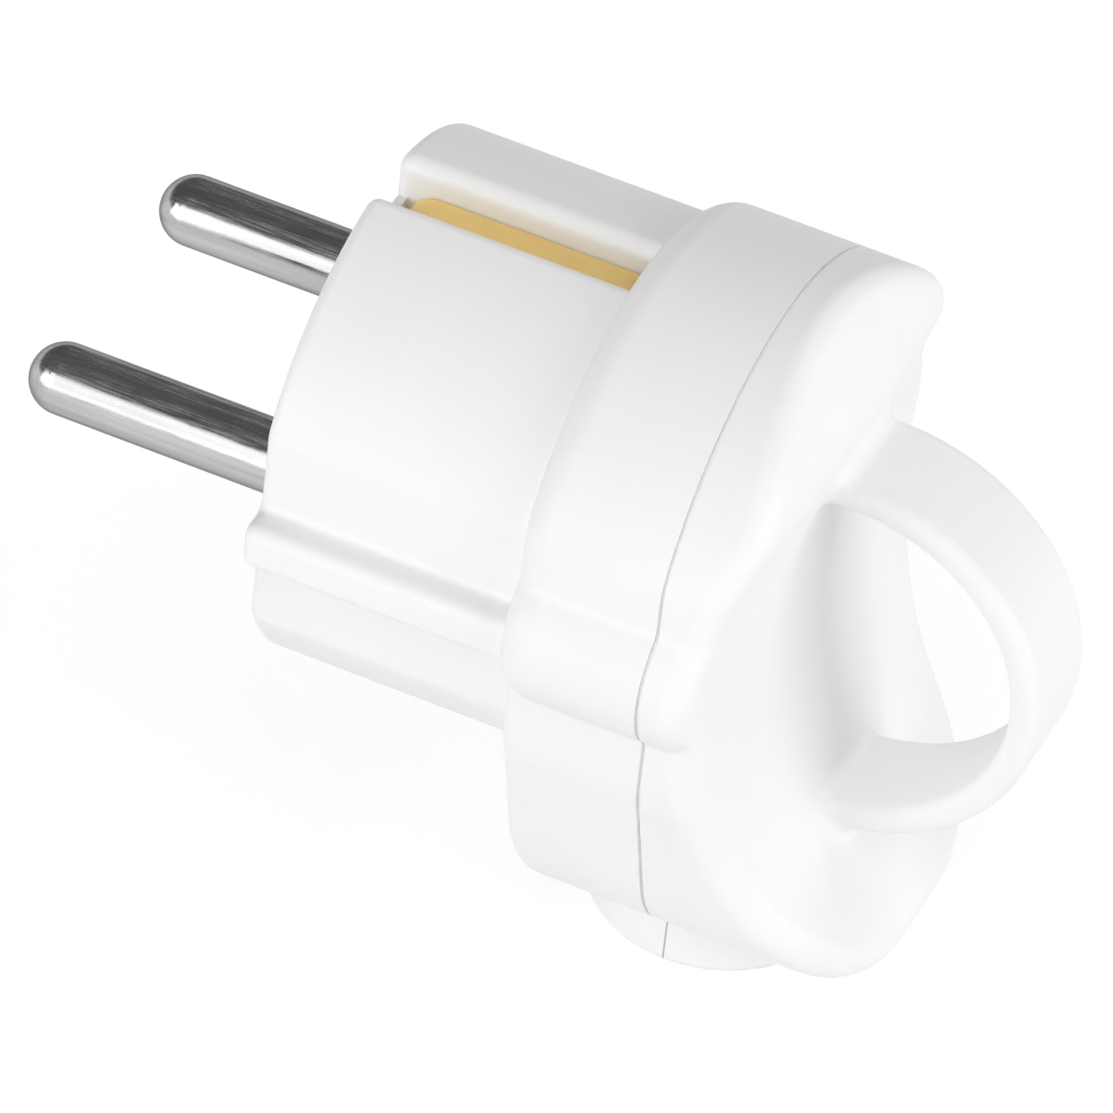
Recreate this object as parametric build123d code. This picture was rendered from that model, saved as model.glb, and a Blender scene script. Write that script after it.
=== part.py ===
"""Angled two-pin earthed plug with a finger ring, as an assembly of its moulded and metal pieces.

Frame: millimetres, +Y the way the pins point, X along the line of the pins, +Z up, away from the cord.
The origin is the centre of the engagement face, midway between the pins. Sizes along the plug are
depths: how far a plane lies behind the engagement face, so depth d is the plane Y = -d.
"""

import os
from math import radians, sqrt, tan

from build123d import *

# Contact pins
PIN_DIAMETER = 4.8
PIN_SPACING = 19.0
PIN_REACH = 19.0
PIN_SHANK_DIAMETER = 5.6
PIN_HEAD_SIZE = 6.4
PIN_HEAD_LENGTH = 9.0
PIN_HEAD_DEPTH = 12.5
PIN_HEAD_RECESS = 1.0
PIN_BOSS_DIAMETER = 10.4
PIN_FIT = 0.05
WIRE_HOLE = 3.2
WIRE_HOLE_OFFSET = 4.5

# Nose of the front housing
NOSE_RADIUS = 17.7
NOSE_FLAT_CUT = 1.7
NOSE_CORNER = 1.5
NOSE_FRONT_ROUND = 0.8
GUIDE_RISE = 2.3
GUIDE_HEIGHT = 3.4
GUIDE_ROUND = 0.9
GUIDE_ROOT = 0.5
FRONT_WALL = 4.0
NOSE_WALL = 2.5

# Earth channels along the top and bottom of the nose
CHANNEL_WIDTH = 3.5
CHANNEL_FLOOR = 14.6
CHANNEL_FLOOR_WALL = 1.7
CHANNEL_LIP = 1.0
CHANNEL_POCKET = 1.65
CHANNEL_FRONT_LIP = 0.9
TUNNEL_HEIGHT = 1.8

# Collar and cord wing: the outline shared by the front housing and the rear cover
COLLAR_STEP = 1.4
COLLAR_FLAT_CUT = 1.8
COLLAR_DEPTH = 17.9
COLLAR_LENGTH = 10.15
COLLAR_FRONT_ROUND = 2.2
COLLAR_FRONT_WALL = 2.2
SIDE_RIB_RADIUS = 5.6
SIDE_RIB_RISE = 2.15
SIDE_RIB_ROOT = 0.8
FLAT_CORNER = 4.5
WING_SHOULDER = 9.2
WING_SHOULDER_ROUND = 6.0
WING_TAPER = 16.0
WING_DROP = 8.9
WING_CORNER = 12.0
WALL = 2.2
SEAM_WIDTH = 0.12
SEAM_DEPTH = 0.4

# Back of the rear cover: (height, distance behind the parting plane) of its centre line, from brow to tail
BACK_LINE = (
    (20.5, 2.15),
    (16.3, 4.35),
    (13.6, 5.6),
    (11.3, 5.95),
    (8.4, 5.25),
    (4.0, 4.35),
    (-1.0, 4.1),
    (-6.0, 4.35),
    (-10.5, 5.25),
    (-14.0, 6.35),
    (-18.5, 8.75),
    (-22.5, 12.0),
    (-26.0, 14.3),
    (-31.0, 16.2),
)
BACK_AXIS_Y = 120.0
BACK_SPARE = 6.0
BACK_RIM_ROUND = 1.9
BACK_WALL = 2.2

# Finger ring
RING_RISE = 6.9
RING_HEIGHT = -4.55
RING_RADIUS = 14.25
RING_THICKNESS = 2.1
RING_WIDTH = 8.0
RING_EDGE_ROUND = 0.85
RING_ROOT_RISE = 3.45
RING_ROOT_ROUND = 1.0

# Cord outlet
OUTLET_RADIUS = 8.6
OUTLET_DROP = 2.9
OUTLET_ROUND = 0.8
OUTLET_LENGTH = 8.9
CORD_BORE = 10.0

# Earth strap and the sleeve for an earth pin
STRAP_WIDTH = 3.3
STRAP_THICKNESS = 0.8
STRAP_BRIDGE_SETBACK = 0.9
STRAP_BRIDGE_WIDTH = 8.0
STRAP_BRIDGE_HEIGHT = 26.0
STRAP_BRIDGE_CORNER = 2.0
STRAP_FRONT_DEPTH = 1.1
STRAP_FRONT_BEND = 1.8
STRAP_REAR_BEND = 1.2
STRAP_TIP = 13.1
EARTH_PIN_HEIGHT = 10.0
EARTH_BOSS_DIAMETER = 9.0
EARTH_BOSS_END = 17.0
EARTH_SLEEVE_OUTER = 6.4
EARTH_SLEEVE_BORE = 4.9
EARTH_SLEEVE_END = 2.0
EARTH_MOUTH = 5.2
EARTH_MOUTH_LENGTH = 4.0
SLEEVE_FIT = 0.05

# Cover screw, terminal screws and the posts that hold the pins
SCREW_BOSS_DIAMETER = 9.0
BOSS_WEB = 2.4
BOSS_WEB_END = 12.0
COVER_SCREW_DIAMETER = 3.9
COVER_SCREW_HEAD = 6.6
COVER_SCREW_HEAD_HEIGHT = 2.6
COVER_SCREW_SEAT = 5.0
COVER_SCREW_TIP_RISE = 0.45
COVER_SCREW_HOLE_SPARE = 0.8
SCREW_CLEARANCE = 0.2
HEAD_CLEARANCE = 0.3
THREAD_FIT = 0.02
SCREW_SLOT = 0.9
COVER_POST_DIAMETER = 8.6
PIN_POST_DIAMETER = 8.4
PIN_POST_PLAY = 0.1
TERMINAL_SCREW_DIAMETER = 3.3
TERMINAL_SCREW_HEAD = 5.0
TERMINAL_SCREW_HEAD_HEIGHT = 1.9
TERMINAL_SCREW_LENGTH = 3.4
EARTH_SCREW_HEIGHT = -9.0
EARTH_SCREW_HEAD = 5.6
EARTH_SCREW_LENGTH = 3.7
WASHER_SIZE = 7.0
WASHER_THICKNESS = 0.9

# Cord clamp
CLAMP_RISE = 0.5
CLAMP_END_MARGIN = 2.1
CLAMP_POST_DIAMETER = 5.2
CLAMP_SEAT_SETBACK = 1.05
CLAMP_BAR_INSET = 6.4
CLAMP_BAR_WIDTH = 5.4
CLAMP_BAR_THICKNESS = 2.2
CLAMP_ARCH_RADIUS = 3.5
CLAMP_SCREW_DIAMETER = 2.8
CLAMP_SCREW_HEAD = 4.6
CLAMP_SCREW_HEAD_HEIGHT = 1.8
CLAMP_SCREW_LENGTH = 8.0
LEDGE_WIDTH = 9.0
LEDGE_LENGTH = 4.5
LEDGE_SETBACK = 4.65

# How near a vertex lies to the corner that it stands for
TOLERANCE = 0.01
# A length that reaches past every part of the plug
FAR = 80.0

SIDES = (-1, 1)
PIN_X = PIN_SPACING / 2
PIN_HEAD_END = PIN_HEAD_DEPTH + PIN_HEAD_LENGTH
NOSE_FLAT = NOSE_RADIUS - NOSE_FLAT_CUT
GUIDE_REACH = NOSE_FLAT + GUIDE_RISE
COLLAR_RADIUS = NOSE_RADIUS + COLLAR_STEP
COLLAR_FLAT = COLLAR_RADIUS - COLLAR_FLAT_CUT
SIDE_RIB_REACH = COLLAR_FLAT + SIDE_RIB_RISE
WING_RADIUS = COLLAR_RADIUS + WING_DROP
COLLAR_INSIDE = COLLAR_DEPTH + COLLAR_FRONT_WALL
PARTING_DEPTH = COLLAR_DEPTH + COLLAR_LENGTH
RING_DEPTH = PARTING_DEPTH + RING_RISE
RING_ROOT_DEPTH = PARTING_DEPTH + RING_ROOT_RISE
OUTLET_END = WING_RADIUS + OUTLET_DROP
OUTLET_ROOT = OUTLET_END - OUTLET_LENGTH
COVER_SCREW_TIP = PARTING_DEPTH + COVER_SCREW_TIP_RISE
CLAMP_SEAT_DEPTH = PARTING_DEPTH - CLAMP_SEAT_SETBACK
LEDGE_DEPTH = PARTING_DEPTH - LEDGE_SETBACK
CLAMP_HEIGHT = CLAMP_RISE - COLLAR_RADIUS
CLAMP_BAR_LENGTH = 2 * (COLLAR_FLAT - CLAMP_BAR_INSET)
CLAMP_SPACING = CLAMP_BAR_LENGTH - 2 * CLAMP_END_MARGIN
STRAP_BRIDGE_DEPTH = COLLAR_INSIDE + STRAP_BRIDGE_SETBACK
STRAP_MIDDLE = CHANNEL_FLOOR + STRAP_THICKNESS / 2
STRAP_BRIDGE_BACK = STRAP_BRIDGE_DEPTH + STRAP_THICKNESS
STRAP_RUN_START = STRAP_FRONT_DEPTH + STRAP_THICKNESS / 2 + STRAP_FRONT_BEND


def prism(sketch, start, end):
    """Return the XZ sketch drawn out from one depth to a greater one."""
    return extrude(Plane.XZ.offset(start) * sketch, end - start)


def rod(x, z, diameter, start, end):
    """Return a round bar parallel to the pins between two depths."""
    return prism(Pos(x, z) * Circle(diameter / 2), start, end)


def corners(sketch, x, z):
    """Return the vertices of a mirrored outline at half-width x and height z."""
    return sketch.vertices().filter_by(
        lambda v: abs(abs(v.X) - x) < TOLERANCE and abs(v.Y - z) < TOLERANCE
    )


def slotted_screw(x, z, diameter, head, head_height, seat, tip):
    """Return a slotted screw; its head lies on the side of the seat that faces away from the tip."""
    outward = 1 if tip < seat else -1
    crown = seat + outward * head_height
    slot_floor = seat + outward * head_height / 2
    screw = rod(x, z, head, min(seat, crown), max(seat, crown))
    screw += rod(x, z, diameter, min(seat, tip), max(seat, tip))
    slot = Pos(x, z) * Rectangle(SCREW_SLOT, FAR)
    return screw - prism(slot, min(slot_floor, crown), max(slot_floor, crown))


def nose_section():
    """Section of the nose: a circle with side flats, guide ribs and the two earth channels."""
    section = Circle(NOSE_RADIUS) & Rectangle(2 * NOSE_FLAT, FAR)
    section += Rectangle(2 * GUIDE_REACH, GUIDE_HEIGHT)
    rib = GUIDE_HEIGHT / 2
    flat_end = sqrt(NOSE_RADIUS**2 - NOSE_FLAT**2)
    lip = sqrt(NOSE_RADIUS**2 - (CHANNEL_WIDTH / 2) ** 2)
    for side in SIDES:
        section -= Pos(0, side * (CHANNEL_FLOOR + FAR / 2)) * Rectangle(CHANNEL_WIDTH, FAR)
    for side in SIDES:
        section = fillet(corners(section, GUIDE_REACH, side * rib), GUIDE_ROUND)
        section = fillet(corners(section, NOSE_FLAT, side * rib), GUIDE_ROOT)
        section = fillet(corners(section, NOSE_FLAT, side * flat_end), NOSE_CORNER)
        section = fillet(corners(section, CHANNEL_WIDTH / 2, side * lip), CHANNEL_LIP)
    return section


def nose_cavity_section():
    """Section of the room inside the nose, with walls beside the flats and under the channels."""
    half_width = NOSE_FLAT - NOSE_WALL
    half_height = CHANNEL_FLOOR - CHANNEL_FLOOR_WALL
    return Circle(NOSE_RADIUS - NOSE_WALL) & Rectangle(2 * half_width, 2 * half_height)


def collar_outline():
    """Outline of the collar: a circle with flats, round side ribs and the tapered cord wing."""
    foot = COLLAR_FLAT - (WING_RADIUS - WING_SHOULDER) * tan(radians(WING_TAPER))
    rib_centre = SIDE_RIB_REACH - SIDE_RIB_RADIUS
    rib_root = sqrt(SIDE_RIB_RADIUS**2 - (COLLAR_FLAT - rib_centre) ** 2)
    flat_end = sqrt(COLLAR_RADIUS**2 - COLLAR_FLAT**2)
    wing = Polygon(
        (-COLLAR_FLAT, 0),
        (-COLLAR_FLAT, -WING_SHOULDER),
        (-foot, -WING_RADIUS),
        (foot, -WING_RADIUS),
        (COLLAR_FLAT, -WING_SHOULDER),
        (COLLAR_FLAT, 0),
        align=None,
    )
    outline = Circle(COLLAR_RADIUS) & Pos(0, FAR / 2) * Rectangle(2 * COLLAR_FLAT, FAR)
    outline += wing
    for side in SIDES:
        outline += Pos(side * rib_centre, 0) * Circle(SIDE_RIB_RADIUS)
    outline = fillet(outline.vertices().group_by(Axis.Y)[0], WING_CORNER)
    outline = fillet(corners(outline, COLLAR_FLAT, -WING_SHOULDER), WING_SHOULDER_ROUND)
    outline = fillet(corners(outline, COLLAR_FLAT, flat_end), FLAT_CORNER)
    for side in SIDES:
        outline = fillet(corners(outline, COLLAR_FLAT, side * rib_root), SIDE_RIB_ROOT)
    return outline


def front_half():
    """Return a block that holds everything in front of the parting plane."""
    return prism(Rectangle(2 * FAR, 2 * FAR), -FAR, PARTING_DEPTH)


def cord_outlet():
    """Return the round boss under the wing, whole, before the parting plane splits it."""
    centre = Pos(0, -PARTING_DEPTH)
    boss = extrude(Plane.XY.offset(-OUTLET_END) * centre * Circle(OUTLET_RADIUS), OUTLET_END - OUTLET_ROOT)
    return fillet(boss.edges().group_by(Axis.Z)[0], OUTLET_ROUND)


def cord_bore():
    """Return the round way for the cord, from below the outlet into the room behind it."""
    centre = Pos(0, -PARTING_DEPTH)
    return extrude(Plane.XY.offset(-FAR) * centre * Circle(CORD_BORE / 2), FAR - OUTLET_ROOT)


def seam_groove(outline, start):
    """Return the fine groove that runs along the parting line, on one side of it."""
    return prism(outline - offset(outline, -SEAM_DEPTH), start, start + SEAM_WIDTH)


def earth_channel_cuts(side):
    """Return the tunnel under the collar and the hook pocket at one channel's front end."""
    tunnel = Pos(0, side * (CHANNEL_FLOOR + TUNNEL_HEIGHT / 2)) * Rectangle(CHANNEL_WIDTH, TUNNEL_HEIGHT)
    pocket = Pos(0, side * (CHANNEL_FLOOR - CHANNEL_POCKET / 2)) * Rectangle(CHANNEL_WIDTH, CHANNEL_POCKET)
    cuts = prism(tunnel, COLLAR_DEPTH - COLLAR_FRONT_ROUND, COLLAR_INSIDE)
    return cuts + prism(pocket, CHANNEL_FRONT_LIP, STRAP_RUN_START)


def housing_bosses():
    """Return the bosses, webs, clamp posts and cord ledge that stand inside the front housing."""
    foot = COLLAR_INSIDE - COLLAR_FRONT_WALL / 2
    bosses = rod(0, 0, SCREW_BOSS_DIAMETER, 0, STRAP_BRIDGE_DEPTH)
    bosses += rod(0, EARTH_PIN_HEIGHT, EARTH_BOSS_DIAMETER, FRONT_WALL / 2, EARTH_BOSS_END)
    bosses += prism(Rectangle(PIN_SPACING, BOSS_WEB), FRONT_WALL / 2, BOSS_WEB_END)
    web = Pos(0, EARTH_PIN_HEIGHT / 2) * Rectangle(BOSS_WEB, EARTH_PIN_HEIGHT)
    bosses += prism(web, FRONT_WALL / 2, BOSS_WEB_END)
    for side in SIDES:
        bosses += rod(side * PIN_X, 0, PIN_BOSS_DIAMETER, FRONT_WALL / 2, PIN_HEAD_DEPTH + PIN_HEAD_RECESS)
        x = side * CLAMP_SPACING / 2
        bosses += rod(x, CLAMP_HEIGHT, CLAMP_POST_DIAMETER, foot, CLAMP_SEAT_DEPTH)
    ledge = Pos(0, CLAMP_HEIGHT) * Rectangle(LEDGE_WIDTH, LEDGE_LENGTH)
    return bosses + prism(ledge, foot, LEDGE_DEPTH)


def housing_holes():
    """Return the holes of the front housing: pins, their square heads, screws and the earth sleeve."""
    holes = rod(0, 0, COVER_SCREW_HEAD + 2 * HEAD_CLEARANCE, -FAR, COVER_SCREW_SEAT)
    holes += rod(0, 0, COVER_SCREW_DIAMETER + 2 * SCREW_CLEARANCE, 0, PARTING_DEPTH)
    holes += rod(0, EARTH_PIN_HEIGHT, EARTH_MOUTH, -FAR, EARTH_MOUTH_LENGTH)
    holes += rod(0, EARTH_PIN_HEIGHT, EARTH_SLEEVE_OUTER + 2 * SLEEVE_FIT, EARTH_MOUTH_LENGTH, PARTING_DEPTH)
    head = PIN_HEAD_SIZE + 2 * PIN_FIT
    for side in SIDES:
        holes += rod(side * PIN_X, 0, PIN_SHANK_DIAMETER + 2 * PIN_FIT, -FAR, PARTING_DEPTH)
        holes += prism(Pos(side * PIN_X, 0) * Rectangle(head, head), PIN_HEAD_DEPTH, PARTING_DEPTH)
        x = side * CLAMP_SPACING / 2
        tip = CLAMP_SEAT_DEPTH + CLAMP_BAR_THICKNESS - CLAMP_SCREW_LENGTH
        holes += rod(x, CLAMP_HEIGHT, CLAMP_SCREW_DIAMETER + 2 * THREAD_FIT, tip, CLAMP_SEAT_DEPTH)
    return holes


def front_housing(outline):
    """Nose and collar in one moulding, hollow and open at the parting plane."""
    collar = prism(outline, COLLAR_DEPTH, PARTING_DEPTH)
    collar = fillet(collar.faces().sort_by(Axis.Y)[-1].edges(), COLLAR_FRONT_ROUND)
    nose = prism(nose_section(), 0, COLLAR_INSIDE)
    nose = fillet(nose.faces().sort_by(Axis.Y)[-1].edges(), NOSE_FRONT_ROUND)
    housing = collar + nose + (cord_outlet() & front_half())
    housing -= prism(nose_cavity_section(), FRONT_WALL, PARTING_DEPTH)
    housing -= prism(offset(outline, -WALL), COLLAR_INSIDE, PARTING_DEPTH)
    housing += housing_bosses()
    housing -= housing_holes()
    for side in SIDES:
        housing -= earth_channel_cuts(side)
    housing -= cord_bore()
    return housing - seam_groove(outline, PARTING_DEPTH - SEAM_WIDTH)


def back_solid(inset):
    """Return the solid of revolution whose rim is the scooped back, moved forward by an inset."""
    line = Spline(*[(inset - PARTING_DEPTH - rise, height) for height, rise in BACK_LINE])
    top = line @ 0 - BACK_SPARE * (line % 0)
    bottom = line @ 1 + BACK_SPARE * (line % 1)
    sides = Polyline(line @ 1, bottom, (BACK_AXIS_Y, bottom.Y), (BACK_AXIS_Y, top.Y), top, line @ 0)
    face = make_face([*line.edges(), *sides.edges()])
    return revolve(Plane.YZ * face, Axis((0, BACK_AXIS_Y, 0), (0, 0, 1)))


def finger_ring():
    """Return the ring as a whole round band, cut off where it goes into the back."""
    band = Circle(RING_RADIUS) - Circle(RING_RADIUS - RING_THICKNESS)
    ring = extrude(Plane.YZ * Pos(-RING_DEPTH, RING_HEIGHT) * band, RING_WIDTH / 2, both=True)
    ring = fillet(ring.edges().filter_by(GeomType.CIRCLE), RING_EDGE_ROUND)
    return ring & prism(Rectangle(2 * FAR, 2 * FAR), RING_ROOT_DEPTH, FAR)


def cover_posts():
    """Return the screw post and the two sockets that keep the pins from sliding back."""
    posts = rod(0, 0, COVER_POST_DIAMETER, STRAP_BRIDGE_BACK, FAR)
    screw_hole = COVER_SCREW_DIAMETER + 2 * THREAD_FIT
    posts -= rod(0, 0, screw_hole, STRAP_BRIDGE_BACK, COVER_SCREW_TIP + COVER_SCREW_HOLE_SPARE)
    head_room = TERMINAL_SCREW_HEAD + 2 * HEAD_CLEARANCE
    for side in SIDES:
        x = side * PIN_X
        posts += rod(x, 0, PIN_POST_DIAMETER, PIN_HEAD_END + PIN_POST_PLAY, FAR)
        posts -= rod(x, 0, head_room, PIN_HEAD_END, PARTING_DEPTH)
    return posts


def rear_cover(outline):
    """Scooped cover with its tail, half of the cord outlet and the finger ring."""
    block = prism(outline, PARTING_DEPTH, FAR) & back_solid(0)
    walls = block.faces().filter_by(lambda f: abs(f.normal_at().Y) < TOLERANCE)
    rim = walls.edges().filter_by(
        lambda e: e.center().Y < -PARTING_DEPTH - TOLERANCE and abs((e % 0.5).Y) < 0.9
    )
    block = fillet(rim, BACK_RIM_ROUND)
    room = prism(offset(outline, -WALL), PARTING_DEPTH, FAR) & back_solid(BACK_WALL)
    ring = finger_ring()
    cover = block + ring
    cover = fillet(new_edges(block, ring, combined=cover), RING_ROOT_ROUND)
    cover += cord_outlet() - front_half()
    cover -= room
    cover += cover_posts() & (block + prism(outline, 0, PARTING_DEPTH))
    cover -= cord_bore()
    return cover - seam_groove(outline, PARTING_DEPTH)


def contact_pin(side):
    """Ball-ended pin with a thicker shank and a square head, drilled for the wire and its screw."""
    x = side * PIN_X
    pin = rod(x, 0, PIN_DIAMETER, -PIN_REACH, 0)
    pin = fillet(pin.edges().group_by(Axis.Y)[-1], PIN_DIAMETER / 2 - TOLERANCE)
    pin += rod(x, 0, PIN_SHANK_DIAMETER, 0, PIN_HEAD_DEPTH)
    pin += prism(Pos(x, 0) * Rectangle(PIN_HEAD_SIZE, PIN_HEAD_SIZE), PIN_HEAD_DEPTH, PIN_HEAD_END)
    wire_depth = PIN_HEAD_DEPTH + WIRE_HOLE_OFFSET
    pin -= extrude(Plane.XY * Pos(x, -wire_depth) * Circle(WIRE_HOLE / 2), PIN_HEAD_SIZE, both=True)
    return pin - rod(x, 0, TERMINAL_SCREW_DIAMETER + 2 * THREAD_FIT, wire_depth, PIN_HEAD_END)


def terminal_screw(side):
    """Screw that clamps the wire in one pin head, driven from behind."""
    return slotted_screw(
        side * PIN_X,
        0,
        TERMINAL_SCREW_DIAMETER,
        TERMINAL_SCREW_HEAD,
        TERMINAL_SCREW_HEAD_HEIGHT,
        PIN_HEAD_END,
        PIN_HEAD_END - TERMINAL_SCREW_LENGTH,
    )


def earth_strap():
    """Brass strip bent to a U: a contact in each channel, joined by a wider bridge behind."""
    front = -(STRAP_FRONT_DEPTH + STRAP_THICKNESS / 2)
    rear = -(STRAP_BRIDGE_DEPTH + STRAP_THICKNESS / 2)
    path = Plane.YZ * FilletPolyline(
        (front, STRAP_TIP),
        (front, STRAP_MIDDLE),
        (rear, STRAP_MIDDLE),
        (rear, -STRAP_MIDDLE),
        (front, -STRAP_MIDDLE),
        (front, -STRAP_TIP),
        radius=[STRAP_FRONT_BEND, STRAP_REAR_BEND, STRAP_REAR_BEND, STRAP_FRONT_BEND],
    )
    section = Plane(path @ 0, x_dir=(1, 0, 0), z_dir=path % 0) * Rectangle(STRAP_WIDTH, STRAP_THICKNESS)
    strap = sweep(section, path=path)
    bridge = RectangleRounded(STRAP_BRIDGE_WIDTH, STRAP_BRIDGE_HEIGHT, STRAP_BRIDGE_CORNER)
    strap += prism(bridge, STRAP_BRIDGE_DEPTH, STRAP_BRIDGE_BACK)
    strap -= rod(0, 0, COVER_SCREW_DIAMETER + 2 * SCREW_CLEARANCE, STRAP_BRIDGE_DEPTH, STRAP_BRIDGE_BACK)
    thread = TERMINAL_SCREW_DIAMETER + 2 * THREAD_FIT
    return strap - rod(0, EARTH_SCREW_HEIGHT, thread, STRAP_BRIDGE_DEPTH, STRAP_BRIDGE_BACK)


def earth_socket():
    """Sleeve that takes the earth pin of a socket; its closed end bears on the strap."""
    sleeve = rod(0, EARTH_PIN_HEIGHT, EARTH_SLEEVE_OUTER, EARTH_MOUTH_LENGTH, STRAP_BRIDGE_DEPTH)
    bore_end = STRAP_BRIDGE_DEPTH - EARTH_SLEEVE_END
    return sleeve - rod(0, EARTH_PIN_HEIGHT, EARTH_SLEEVE_BORE, EARTH_MOUTH_LENGTH, bore_end)


def earth_clamp_washer():
    """Square washer that presses the earth wire on the strap."""
    plate = Rectangle(WASHER_SIZE, WASHER_SIZE) - Circle(TERMINAL_SCREW_DIAMETER / 2 + SCREW_CLEARANCE)
    return prism(Pos(0, EARTH_SCREW_HEIGHT) * plate, STRAP_BRIDGE_BACK, STRAP_BRIDGE_BACK + WASHER_THICKNESS)


def earth_terminal_screw():
    """Screw through the washer into the strap."""
    seat = STRAP_BRIDGE_BACK + WASHER_THICKNESS
    return slotted_screw(
        0,
        EARTH_SCREW_HEIGHT,
        TERMINAL_SCREW_DIAMETER,
        EARTH_SCREW_HEAD,
        TERMINAL_SCREW_HEAD_HEIGHT,
        seat,
        seat - EARTH_SCREW_LENGTH,
    )


def cover_screw():
    """Screw from the engagement face, through the housing and the strap, into the cover post."""
    return slotted_screw(
        0,
        0,
        COVER_SCREW_DIAMETER,
        COVER_SCREW_HEAD,
        COVER_SCREW_HEAD_HEIGHT,
        COVER_SCREW_SEAT,
        COVER_SCREW_TIP,
    )


def cord_clamp_bar():
    """Bar with an arch that holds the cord down on the ledge."""
    middle = -(CLAMP_SEAT_DEPTH + CLAMP_BAR_THICKNESS / 2)
    flat = Pos(0, middle) * Rectangle(CLAMP_BAR_LENGTH, CLAMP_BAR_THICKNESS)
    crown = Pos(0, -CLAMP_SEAT_DEPTH) * Circle(CLAMP_ARCH_RADIUS + CLAMP_BAR_THICKNESS)
    hollow = Pos(0, -CLAMP_SEAT_DEPTH) * Circle(CLAMP_ARCH_RADIUS)
    behind_seat = Pos(0, -CLAMP_SEAT_DEPTH - FAR / 2) * Rectangle(FAR, FAR)
    profile = (flat + crown - hollow) & behind_seat
    bar = extrude(Plane.XY.offset(CLAMP_HEIGHT) * profile, CLAMP_BAR_WIDTH / 2, both=True)
    for side in SIDES:
        x = side * CLAMP_SPACING / 2
        bar -= rod(x, CLAMP_HEIGHT, CLAMP_SCREW_DIAMETER + 2 * SCREW_CLEARANCE, 0, FAR)
    return bar


def cord_clamp_screw(side):
    """Screw that draws one end of the clamp bar to its post."""
    seat = CLAMP_SEAT_DEPTH + CLAMP_BAR_THICKNESS
    return slotted_screw(
        side * CLAMP_SPACING / 2,
        CLAMP_HEIGHT,
        CLAMP_SCREW_DIAMETER,
        CLAMP_SCREW_HEAD,
        CLAMP_SCREW_HEAD_HEIGHT,
        seat,
        seat - CLAMP_SCREW_LENGTH,
    )


def pieces():
    """Return every piece of the plug by its node's name."""
    outline = collar_outline()
    return {
        "front_housing": front_housing(outline),
        "rear_cover": rear_cover(outline),
        "live_pin": contact_pin(-1),
        "neutral_pin": contact_pin(1),
        "live_terminal_screw": terminal_screw(-1),
        "neutral_terminal_screw": terminal_screw(1),
        "earth_strap": earth_strap(),
        "earth_socket": earth_socket(),
        "earth_clamp_washer": earth_clamp_washer(),
        "earth_terminal_screw": earth_terminal_screw(),
        "cover_screw": cover_screw(),
        "cord_clamp_bar": cord_clamp_bar(),
        "cord_clamp_screw_left": cord_clamp_screw(-1),
        "cord_clamp_screw_right": cord_clamp_screw(1),
    }


def main():
    """Write every piece to its own file."""
    os.makedirs("parts", exist_ok=True)
    for name, shape in pieces().items():
        export_step(shape, f"parts/{name}.step")


if __name__ == "__main__":
    main()
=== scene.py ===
"""Finishes and studio for the angled two-pin plug with a finger ring.

Metres, in the plug's own frame: +Y the way the pins point, X along the line of the pins, +Z up, away from the
cord. The origin is the centre of the engagement face.
"""

import logging
from dataclasses import dataclass
from enum import Enum
from math import cos, pi, radians, sin
from typing import Union

import bpy
import numpy as np
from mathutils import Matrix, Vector


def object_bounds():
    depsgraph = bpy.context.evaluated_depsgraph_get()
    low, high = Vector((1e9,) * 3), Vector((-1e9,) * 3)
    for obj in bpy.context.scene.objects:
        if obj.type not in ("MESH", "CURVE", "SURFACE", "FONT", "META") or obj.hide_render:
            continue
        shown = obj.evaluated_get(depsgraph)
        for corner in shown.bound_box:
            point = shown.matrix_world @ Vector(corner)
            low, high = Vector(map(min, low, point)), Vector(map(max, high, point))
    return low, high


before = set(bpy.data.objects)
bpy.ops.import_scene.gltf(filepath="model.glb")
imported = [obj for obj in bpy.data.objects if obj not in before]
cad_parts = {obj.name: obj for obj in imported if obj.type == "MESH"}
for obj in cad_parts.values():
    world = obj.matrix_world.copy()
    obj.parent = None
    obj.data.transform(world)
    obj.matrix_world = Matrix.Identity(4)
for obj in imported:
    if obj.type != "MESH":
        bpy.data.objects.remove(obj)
CAD_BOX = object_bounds()

LOG = logging.getLogger("plug")
Colour = tuple[float, float, float]
Point = tuple[float, float, float]
SocketValue = Union[float, Colour, Point, bpy.types.NodeSocket]
SocketTable = dict[Union[str, int], SocketValue]

NOISE_LOW, NOISE_HIGH = 0.35, 0.65


class Slot(Enum):
    """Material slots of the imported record."""

    WHITE_PLASTIC = "white_plastic"
    CLAMP_PLASTIC = "clamp_plastic"
    NICKEL = "nickel"
    BRASS = "brass"
    SCREW_STEEL = "screw_steel"


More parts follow.
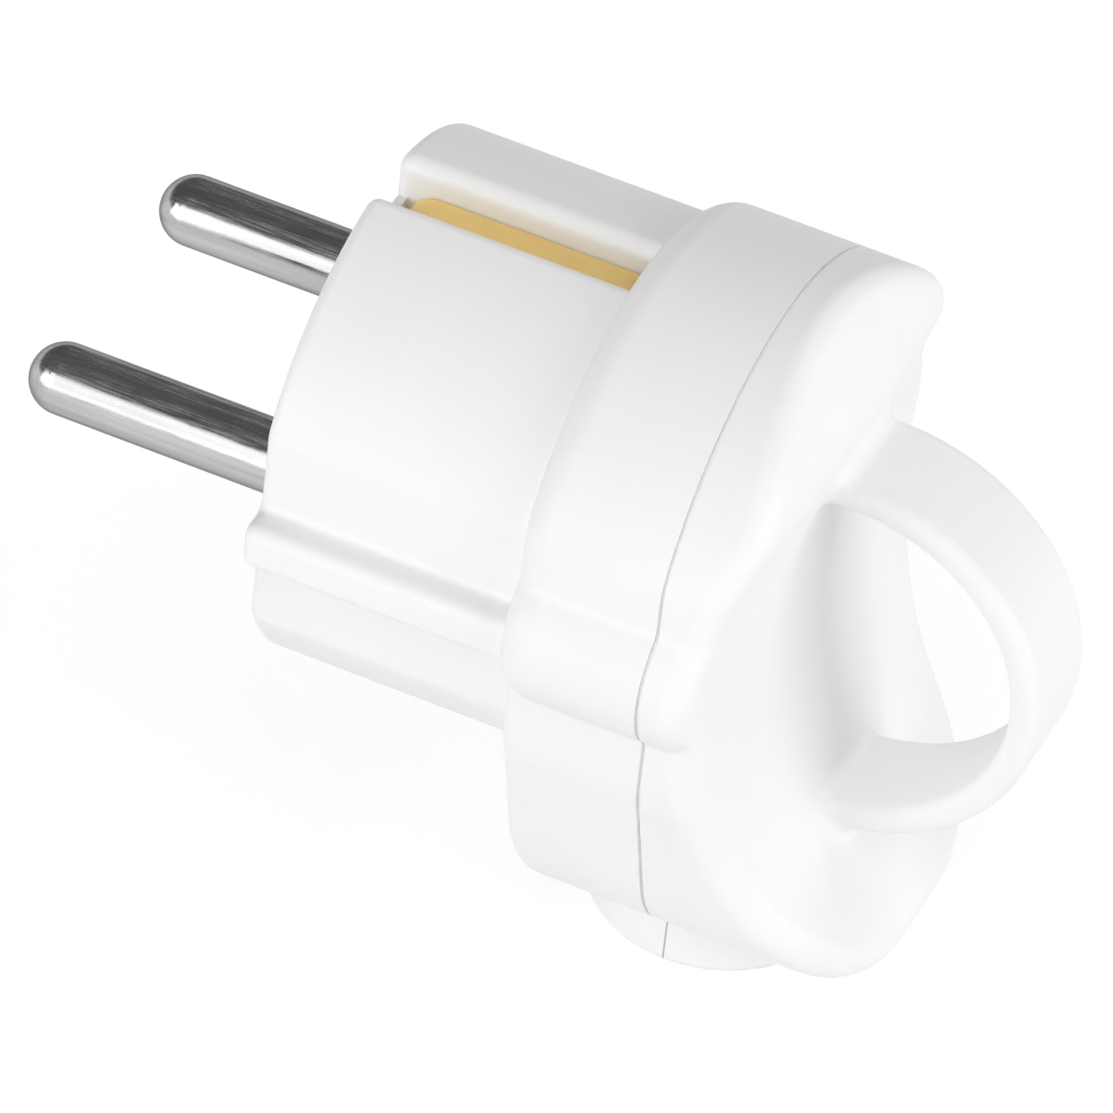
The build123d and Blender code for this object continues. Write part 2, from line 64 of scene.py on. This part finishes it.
class ShaderSheet:
    """The node tree of a material or a world, with short calls to add and join nodes."""

    def __init__(self, owner: Union[bpy.types.Material, bpy.types.World]) -> None:
        """Start with an empty tree.

        Args:
            owner: the material or world that the nodes belong to.
        """
        owner.use_nodes = True
        self.owner = owner
        self.tree = owner.node_tree
        self.tree.nodes.clear()

    def node(self, kind: str, sockets: SocketTable, **settings: object) -> bpy.types.Node:
        """Add a node.

        Args:
            kind: the node's type without its Shader prefix.
            sockets: values, or sockets to join, by the name or the number of the input.
            settings: attributes of the node itself.

        Returns:
            The new node.
        """
        made = self.tree.nodes.new("ShaderNode" + kind)
        for key, value in settings.items():
            setattr(made, key, value)
        for key, value in sockets.items():
            self.feed(made.inputs[key], value)
        return made

    def feed(self, socket: bpy.types.NodeSocket, value: SocketValue) -> None:
        """Give an input a value, or join it to an output.

        Args:
            socket: the input.
            value: a number, a colour or an output socket.
        """
        if isinstance(value, bpy.types.NodeSocket):
            self.tree.links.new(value, socket)
        elif socket.type == "RGBA":
            socket.default_value = (*value, 1.0)
        else:
            socket.default_value = value

    def place(self, stretch: Point = (1.0, 1.0, 1.0)) -> bpy.types.NodeSocket:
        """Return object coordinates, multiplied along each axis.

        Args:
            stretch: factors along X, Y and Z; a small one draws a pattern out along that axis.

        Returns:
            The vector output.
        """
        spot = self.node("TexCoord", {}).outputs["Object"]
        return self.node("Mapping", {"Vector": spot, "Scale": stretch}).outputs["Vector"]

    def noise(self, vector: bpy.types.NodeSocket, scale: float, detail: float = 2.0) -> bpy.types.NodeSocket:
        """Return a noise pattern.

        Args:
            vector: the coordinates that it reads.
            scale: how many cells there are to a metre.
            detail: octaves above the first.

        Returns:
            The value output, about 0.3 to 0.7.
        """
        return self.node("TexNoise", {"Vector": vector, "Scale": scale, "Detail": detail}).outputs["Fac"]

    def spread(self, value: bpy.types.NodeSocket, low: float, high: float) -> bpy.types.NodeSocket:
        """Return a noise value carried from its usual range to low and high.

        Args:
            value: the noise.
            low: result at the low end.
            high: result at the high end.

        Returns:
            The value output.
        """
        ends = {"Value": value, "From Min": NOISE_LOW, "From Max": NOISE_HIGH, "To Min": low, "To Max": high}
        return self.node("MapRange", ends).outputs["Result"]

    def math(self, operation: str, *values: SocketValue) -> bpy.types.NodeSocket:
        """Return the result of a sum or a comparison.

        Args:
            operation: which one, by the Math node's own name.
            values: what it works on, in order.

        Returns:
            The value output.
        """
        return self.node("Math", dict(enumerate(values)), operation=operation).outputs[0]

    def blend(self, fac: bpy.types.NodeSocket, first: SocketValue, second: SocketValue) -> bpy.types.NodeSocket:
        """Return a colour between two others.

        Args:
            fac: 0 for the first, 1 for the second.
            first: a colour or a colour output.
            second: a colour or a colour output.

        Returns:
            The colour output.
        """
        made = self.node("Mix", {}, data_type="RGBA")
        factor, a, b = made.inputs[0], made.inputs[6], made.inputs[7]
        self.feed(factor, fac)
        self.feed(a, first)
        self.feed(b, second)
        return made.outputs[2]

    def bump(
        self, height: bpy.types.NodeSocket, depth: float, under: Union[bpy.types.NodeSocket, None] = None
    ) -> bpy.types.NodeSocket:
        """Return a normal tilted by a height pattern.

        Args:
            height: the pattern, 0 to 1.
            depth: how deep 0 to 1 is, in metres.
            under: a normal to start from.

        Returns:
            The normal output.
        """
        sockets: SocketTable = {"Height": height, "Distance": depth, "Strength": 1.0}
        if under is not None:
            sockets["Normal"] = under
        return self.node("Bump", sockets).outputs["Normal"]

    def finish(self, sockets: SocketTable) -> bpy.types.Material:
        """Close the tree with a principled surface.

        Args:
            sockets: inputs of the surface by name.

        Returns:
            The material.
        """
        surface = self.node("BsdfPrincipled", sockets).outputs[0]
        self.node("OutputMaterial", {"Surface": surface})
        return self.owner


@dataclass(frozen=True)
class MouldedPlastic:
    """Satin thermoplastic: faint clouding, a spark-eroded grain, the slow swell of a moulded wall.

    The parting groove is painted paler than the rest: painted light that lifts the shade inside it.
    The halves of the cord outlet meet without a groove, and a fine witness line is left there.
    """

    name: str
    pale: Colour
    cloud: Colour
    satin: tuple[float, float] = (0.42, 0.52)
    witness: Colour = (0.42, 0.42, 0.42)
    witness_reach: float = 0.00006
    # painted light: colour of the parting groove, paler than the wall to lift the shade that falls inside it
    groove_painted_light: Colour = (0.985, 0.985, 0.985)
    groove_reach: float = 0.000125
    parting: float = -0.02805
    outlet_half: float = 0.0087
    outlet_below: float = -0.02
    grain_scale: float = 5200.0
    grain_depth: float = 1.6e-6
    swell_scale: float = 130.0
    swell_depth: float = 2.5e-5
    cloud_scale: float = 75.0
    satin_scale: float = 900.0
    ior: float = 1.49

    def material(self) -> bpy.types.Material:
        """Return the material."""
        sheet = ShaderSheet(bpy.data.materials.new(self.name))
        spot = sheet.place()
        clouding = sheet.spread(sheet.noise(spot, self.cloud_scale, 3.0), 0.0, 1.0)
        grain = sheet.noise(spot, self.grain_scale)
        swell = sheet.bump(sheet.noise(spot, self.swell_scale, 1.0), self.swell_depth)
        body = sheet.blend(clouding, self.pale, self.cloud)
        axes = sheet.node("SeparateXYZ", {"Vector": spot}).outputs
        beside = sheet.math("COMPARE", axes["X"], 0.0, self.outlet_half)
        below = sheet.math("LESS_THAN", axes["Z"], self.outlet_below)
        outlet = sheet.math("MULTIPLY", beside, below)
        witness = sheet.math("MULTIPLY", sheet.math("COMPARE", axes["Y"], self.parting, self.witness_reach), outlet)
        # painted light: the groove mask picks the parting groove, which is coloured paler to lift its shade
        groove = sheet.math("GREATER_THAN", sheet.math("COMPARE", axes["Y"], self.parting, self.groove_reach), outlet)
        return sheet.finish(
            {
                "Base Color": sheet.blend(groove, sheet.blend(witness, body, self.witness), self.groove_painted_light),
                "Roughness": sheet.spread(sheet.noise(spot, self.satin_scale, 3.0), *self.satin),
                "IOR": self.ior,
                "Normal": sheet.bump(grain, self.grain_depth, swell),
            }
        )


@dataclass(frozen=True)
class DrawnNickel:
    """Polished nickel on a drawn pin: hair lines along the pin, a slow ripple and darker rubbed streaks."""

    name: str
    bright: Colour
    rubbed: Colour
    polish: tuple[float, float] = (0.12, 0.30)
    rim: Colour = (0.35, 0.35, 0.35)
    draw_out: Point = (1.0, 0.035, 1.0)
    line_scale: float = 9000.0
    line_depth: float = 1.2e-6
    streak_scale: float = 1600.0
    ripple_scale: float = 420.0
    ripple_depth: float = 3.0e-5

    def material(self) -> bpy.types.Material:
        """Return the material."""
        sheet = ShaderSheet(bpy.data.materials.new(self.name))
        spot = sheet.place()
        drawn = sheet.place(self.draw_out)
        lines = sheet.noise(drawn, self.line_scale, 3.0)
        streaks = sheet.spread(sheet.noise(drawn, self.streak_scale, 4.0), 0.0, 1.0)
        ripple = sheet.bump(sheet.noise(spot, self.ripple_scale, 2.0), self.ripple_depth)
        return sheet.finish(
            {
                "Base Color": sheet.blend(streaks, self.bright, self.rubbed),
                "Metallic": 1.0,
                "Specular Tint": self.rim,
                "Roughness": sheet.spread(lines, *self.polish),
                "Normal": sheet.bump(lines, self.line_depth, ripple),
            }
        )


@dataclass(frozen=True)
class PressedBrass:
    """Bare rolled brass strip: rolling lines, a warm tarnish in patches and one dark fleck."""

    name: str
    bright: Colour
    tarnish: Colour
    fleck: Colour
    fleck_at: Point
    fleck_size: float = 0.00010
    fleck_fade: float = 0.00024
    sheen: tuple[float, float] = (0.38, 0.52)
    sheen_scale: float = 1500.0
    dulled: float = 0.17
    patch_scale: float = 520.0
    roll_out: Point = (1.0, 0.05, 1.0)
    line_scale: float = 6000.0
    line_depth: float = 2.0e-6

    def material(self) -> bpy.types.Material:
        """Return the material."""
        sheet = ShaderSheet(bpy.data.materials.new(self.name))
        spot = sheet.place()
        rolled = sheet.place(self.roll_out)
        lines = sheet.noise(rolled, self.line_scale, 3.0)
        patches = sheet.spread(sheet.noise(spot, self.patch_scale, 4.0), 0.0, 1.0)
        metal = sheet.blend(patches, self.bright, self.tarnish)
        away = sheet.node("VectorMath", {0: spot, 1: self.fleck_at}, operation="DISTANCE").outputs["Value"]
        ends = {"Value": away, "From Min": self.fleck_size, "From Max": self.fleck_fade}
        clear = sheet.node("MapRange", ends).outputs["Result"]
        return sheet.finish(
            {
                "Base Color": sheet.blend(clear, self.fleck, metal),
                "Metallic": self.dulled,
                "Roughness": sheet.spread(sheet.noise(spot, self.sheen_scale, 3.0), *self.sheen),
                "Normal": sheet.bump(lines, self.line_depth),
            }
        )


@dataclass(frozen=True)
class PlatedSteel:
    """Zinc-plated steel: a crystalline mottle and a cool or straw cast from place to place."""

    name: str
    cool: Colour
    straw: Colour
    sheen: tuple[float, float] = (0.24, 0.40)
    sheen_scale: float = 1800.0
    cast_scale: float = 300.0
    mottle_scale: float = 2600.0
    mottle_depth: float = 3.0e-6

    def material(self) -> bpy.types.Material:
        """Return the material."""
        sheet = ShaderSheet(bpy.data.materials.new(self.name))
        spot = sheet.place()
        cast = sheet.spread(sheet.noise(spot, self.cast_scale, 2.0), 0.0, 1.0)
        mottle = sheet.node("TexVoronoi", {"Vector": spot, "Scale": self.mottle_scale}).outputs["Distance"]
        return sheet.finish(
            {
                "Base Color": sheet.blend(cast, self.cool, self.straw),
                "Metallic": 1.0,
                "Roughness": sheet.spread(sheet.noise(spot, self.sheen_scale, 2.0), *self.sheen),
                "Normal": sheet.bump(mottle, self.mottle_depth),
            }
        )


Finish = Union[MouldedPlastic, DrawnNickel, PressedBrass, PlatedSteel]

FINISHES: dict[Slot, Finish] = {
    Slot.WHITE_PLASTIC: MouldedPlastic("white_plastic_satin", (0.872, 0.872, 0.868), (0.852, 0.853, 0.852)),
    Slot.CLAMP_PLASTIC: MouldedPlastic("clamp_plastic_plain", (0.70, 0.70, 0.69), (0.66, 0.66, 0.66), (0.42, 0.55)),
    Slot.NICKEL: DrawnNickel("nickel_drawn", (0.56, 0.555, 0.55), (0.45, 0.445, 0.44)),
    Slot.BRASS: PressedBrass(
        "brass_pressed", (1.0, 0.735, 0.285), (0.98, 0.695, 0.25), (0.16, 0.09, 0.03), (-0.00036, -0.00739, 0.0154)
    ),
    Slot.SCREW_STEEL: PlatedSteel("steel_zinc", (0.62, 0.64, 0.67), (0.66, 0.64, 0.57)),
}


@dataclass
class SubAssembly:
    """Pieces of the plug that share one finish.

    Attributes:
        title: what the pieces are together.
        slot: the material slot that they are finished by.
        nodes: names of the solids.
    """

    title: str
    slot: Slot
    nodes: tuple[str, ...]

    def dress(self, material: bpy.types.Material) -> None:
        """Put the finish on every piece.

        Args:
            material: the finish's material.
        """
        for name in self.nodes:
            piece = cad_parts[name]
            for holder in piece.material_slots:
                holder.material = material
            LOG.info("%s: %s in %s", self.title, name, material.name)


PLUG = (
    SubAssembly("moulded housing", Slot.WHITE_PLASTIC, ("front_housing", "rear_cover")),
    SubAssembly("contact pins", Slot.NICKEL, ("live_pin", "neutral_pin")),
    SubAssembly("earth contacts", Slot.BRASS, ("earth_strap", "earth_socket")),
    SubAssembly(
        "fasteners",
        Slot.SCREW_STEEL,
        (
            "live_terminal_screw",
            "neutral_terminal_screw",
            "earth_terminal_screw",
            "earth_clamp_washer",
            "cover_screw",
            "cord_clamp_screw_left",
            "cord_clamp_screw_right",
        ),
    ),
    SubAssembly("cord clamp", Slot.CLAMP_PLASTIC, ("cord_clamp_bar",)),
)


def grid_mesh(name: str, points: np.ndarray) -> bpy.types.Object:
    """Return an object whose surface is a grid of points.

    The point of row i and column j is joined to its neighbours i + 1 and j + 1 by one four-sided face.

    Args:
        name: the object's name.
        points: array of rows by columns by 3, in metres.

    Returns:
        The object, in the scene, with its place in its mesh.
    """
    rows, columns, _ = points.shape
    index = np.arange(rows * columns).reshape(rows, columns)
    faces = np.stack([index[:-1, :-1], index[1:, :-1], index[1:, 1:], index[:-1, 1:]], axis=-1).reshape(-1, 4)
    mesh = bpy.data.meshes.new(name)
    mesh.from_pydata(points.reshape(-1, 3).tolist(), [], faces.tolist())
    mesh.update()
    made = bpy.data.objects.new(name, mesh)
    bpy.context.scene.collection.objects.link(made)
    return made


@dataclass(frozen=True)
class Softbox:
    """A large lamp that faces the plug.

    Attributes:
        name: the lamp's name.
        azimuth: degrees from behind the plug (-Y) towards +X.
        elevation: degrees above the floor.
        distance: metres from the plug.
        size: width and height in metres.
        watts: the lamp's power.
    """

    name: str
    azimuth: float
    elevation: float
    distance: float
    size: tuple[float, float]
    watts: float

    def build(self, target: Vector) -> bpy.types.Object:
        """Add the lamp to the scene.

        Args:
            target: the point that it faces.

        Returns:
            The lamp.
        """
        turn, lift = radians(self.azimuth), radians(self.elevation)
        away = Vector((sin(turn) * cos(lift), -cos(turn) * cos(lift), sin(lift)))
        data = bpy.data.lights.new(self.name, "AREA")
        data.shape = "RECTANGLE"
        data.size, data.size_y = self.size
        data.energy = self.watts
        lamp = bpy.data.objects.new(self.name, data)
        lamp.location = target + self.distance * away
        lamp.rotation_euler = away.to_track_quat("Z", "Y").to_euler()
        lamp.visible_camera = False
        bpy.context.scene.collection.objects.link(lamp)
        return lamp


@dataclass
class Studio:
    """White table-top studio: floor, softboxes, the room around them and the camera."""

    floor_radius: float = 1.4
    floor_grid: tuple[int, int] = (9, 65)
    floor_glow: float = 0.74
    floor_shadow: float = 0.36
    floor_bounce: float = 0.9
    horizon: tuple[float, float] = (3.2, 12.8)
    sky: float = 0.13
    camera_at: Point = (-0.614488, -0.241338, 0.577121)
    camera_turn: Point = (48.00369, -5.04144, -65.20584)
    lens: float = 443.933
    sensor: float = 36.0
    clip: tuple[float, float] = (0.05, 10.0)
    softboxes: tuple[Softbox, ...] = (
        Softbox("softbox_left", -108.0, 21.0, 1.0, (0.75, 0.75), 3.1),
        Softbox("softbox_front_left", -135.0, 12.0, 1.0, (0.6, 0.6), 2.45),
        Softbox("softbox_back_left", -65.0, 42.0, 1.0, (0.6, 0.6), 1.15),
        Softbox("softbox_above", -70.0, 65.0, 1.0, (0.6, 0.6), 1.8),
        Softbox("softbox_back", -5.0, 12.0, 1.0, (0.6, 0.6), 4.6),
        Softbox("softbox_back_right", 30.0, 42.0, 1.0, (0.6, 0.6), 1.1),
        Softbox("softbox_right", 80.0, 42.0, 1.0, (0.6, 0.6), 2.3),
    )

    def disc(self, name: str, radius: float, height: float) -> bpy.types.Object:
        """Return a flat disc.

        The point at radius share u and turn v is (R u cos v, R u sin v, height), u from 0 to 1.

        Args:
            name: the object's name.
            radius: R in metres.
            height: the disc's Z in metres.

        Returns:
            The disc.
        """
        rings, spokes = self.floor_grid
        share, turn = np.meshgrid(np.linspace(0.0, 1.0, rings), np.linspace(0.0, 2.0 * pi, spokes), indexing="ij")
        flat = np.stack(
            [radius * share * np.cos(turn), radius * share * np.sin(turn), np.full_like(share, height)], axis=-1
        )
        made = grid_mesh(name, flat)
        return made

    def seen_ray(self, sheet: ShaderSheet) -> bpy.types.NodeSocket:
        """Return 1 for a ray that shows the backdrop, by eye, in gloss or through glass.

        Args:
            sheet: the node tree.

        Returns:
            The value output.
        """
        path = sheet.node("LightPath", {}).outputs
        gloss = sheet.math("MAXIMUM", path["Is Camera Ray"], path["Is Glossy Ray"])
        return sheet.math("MAXIMUM", gloss, path["Is Transmission Ray"])

    def floor_material(self) -> bpy.types.Material:
        """Return a white floor that still takes the plug's shadow."""
        sheet = ShaderSheet(bpy.data.materials.new("floor_white"))
        plain = sheet.node("BsdfDiffuse", {"Color": (self.floor_bounce,) * 3}).outputs[0]
        soft = sheet.node("BsdfDiffuse", {"Color": (self.floor_shadow,) * 3}).outputs[0]
        glow = sheet.node("Emission", {"Color": (1.0, 1.0, 1.0), "Strength": self.floor_glow}).outputs[0]
        bright = sheet.node("AddShader", {0: soft, 1: glow}).outputs[0]
        mixed = sheet.node("MixShader", {0: self.seen_ray(sheet), 1: plain, 2: bright}).outputs[0]
        sheet.node("OutputMaterial", {"Surface": mixed})
        return sheet.owner

    def build_floor(self) -> None:
        """Lay the floor under the plug's lowest point."""
        floor = self.disc("floor", self.floor_radius, CAD_BOX[0][2])
        floor.data.materials.append(self.floor_material())

    def build_world(self) -> None:
        """Surround the plug with a room that is white at the horizon and dim above it."""
        world = bpy.data.worlds.new("studio_room")
        sheet = ShaderSheet(world)
        toward = sheet.node("TexCoord", {}).outputs["Generated"]
        rise = sheet.node("SeparateXYZ", {"Vector": toward}).outputs["Z"]
        start, stop = (sin(radians(angle)) for angle in self.horizon)
        ends = {"Value": rise, "From Min": start, "From Max": stop, "To Min": 1.0, "To Max": self.sky}
        level = sheet.node("MapRange", ends, interpolation_type="SMOOTHSTEP").outputs["Result"]
        room = sheet.node("Background", {"Color": (1.0, 1.0, 1.0), "Strength": level}).outputs[0]
        sheet.node("OutputWorld", {"Surface": room})
        bpy.context.scene.world = world

    def build_camera(self) -> None:
        """Stand the camera at the photograph's viewing angle."""
        data = bpy.data.cameras.new("camera")
        data.lens = self.lens
        data.sensor_width = self.sensor
        data.clip_start, data.clip_end = self.clip
        camera = bpy.data.objects.new("camera", data)
        camera.location = self.camera_at
        camera.rotation_euler = [radians(turn) for turn in self.camera_turn]
        bpy.context.scene.collection.objects.link(camera)
        bpy.context.scene.camera = camera

    def build(self) -> None:
        """Build the whole studio."""
        low, high = CAD_BOX
        target = (Vector(low) + Vector(high)) / 2.0
        self.build_floor()
        self.build_world()
        for softbox in self.softboxes:
            softbox.build(target)
        self.build_camera()
        bpy.context.scene.view_settings.view_transform = "Standard"
        LOG.info("studio with %d softboxes", len(self.softboxes))


def main() -> None:
    """Dress every sub-assembly and build the studio."""
    logging.basicConfig(level=logging.INFO, format="%(message)s")
    materials = {slot: finish.material() for slot, finish in FINISHES.items()}
    for part in PLUG:
        part.dress(materials[part.slot])
    Studio().build()


if __name__ == "__main__":
    main()
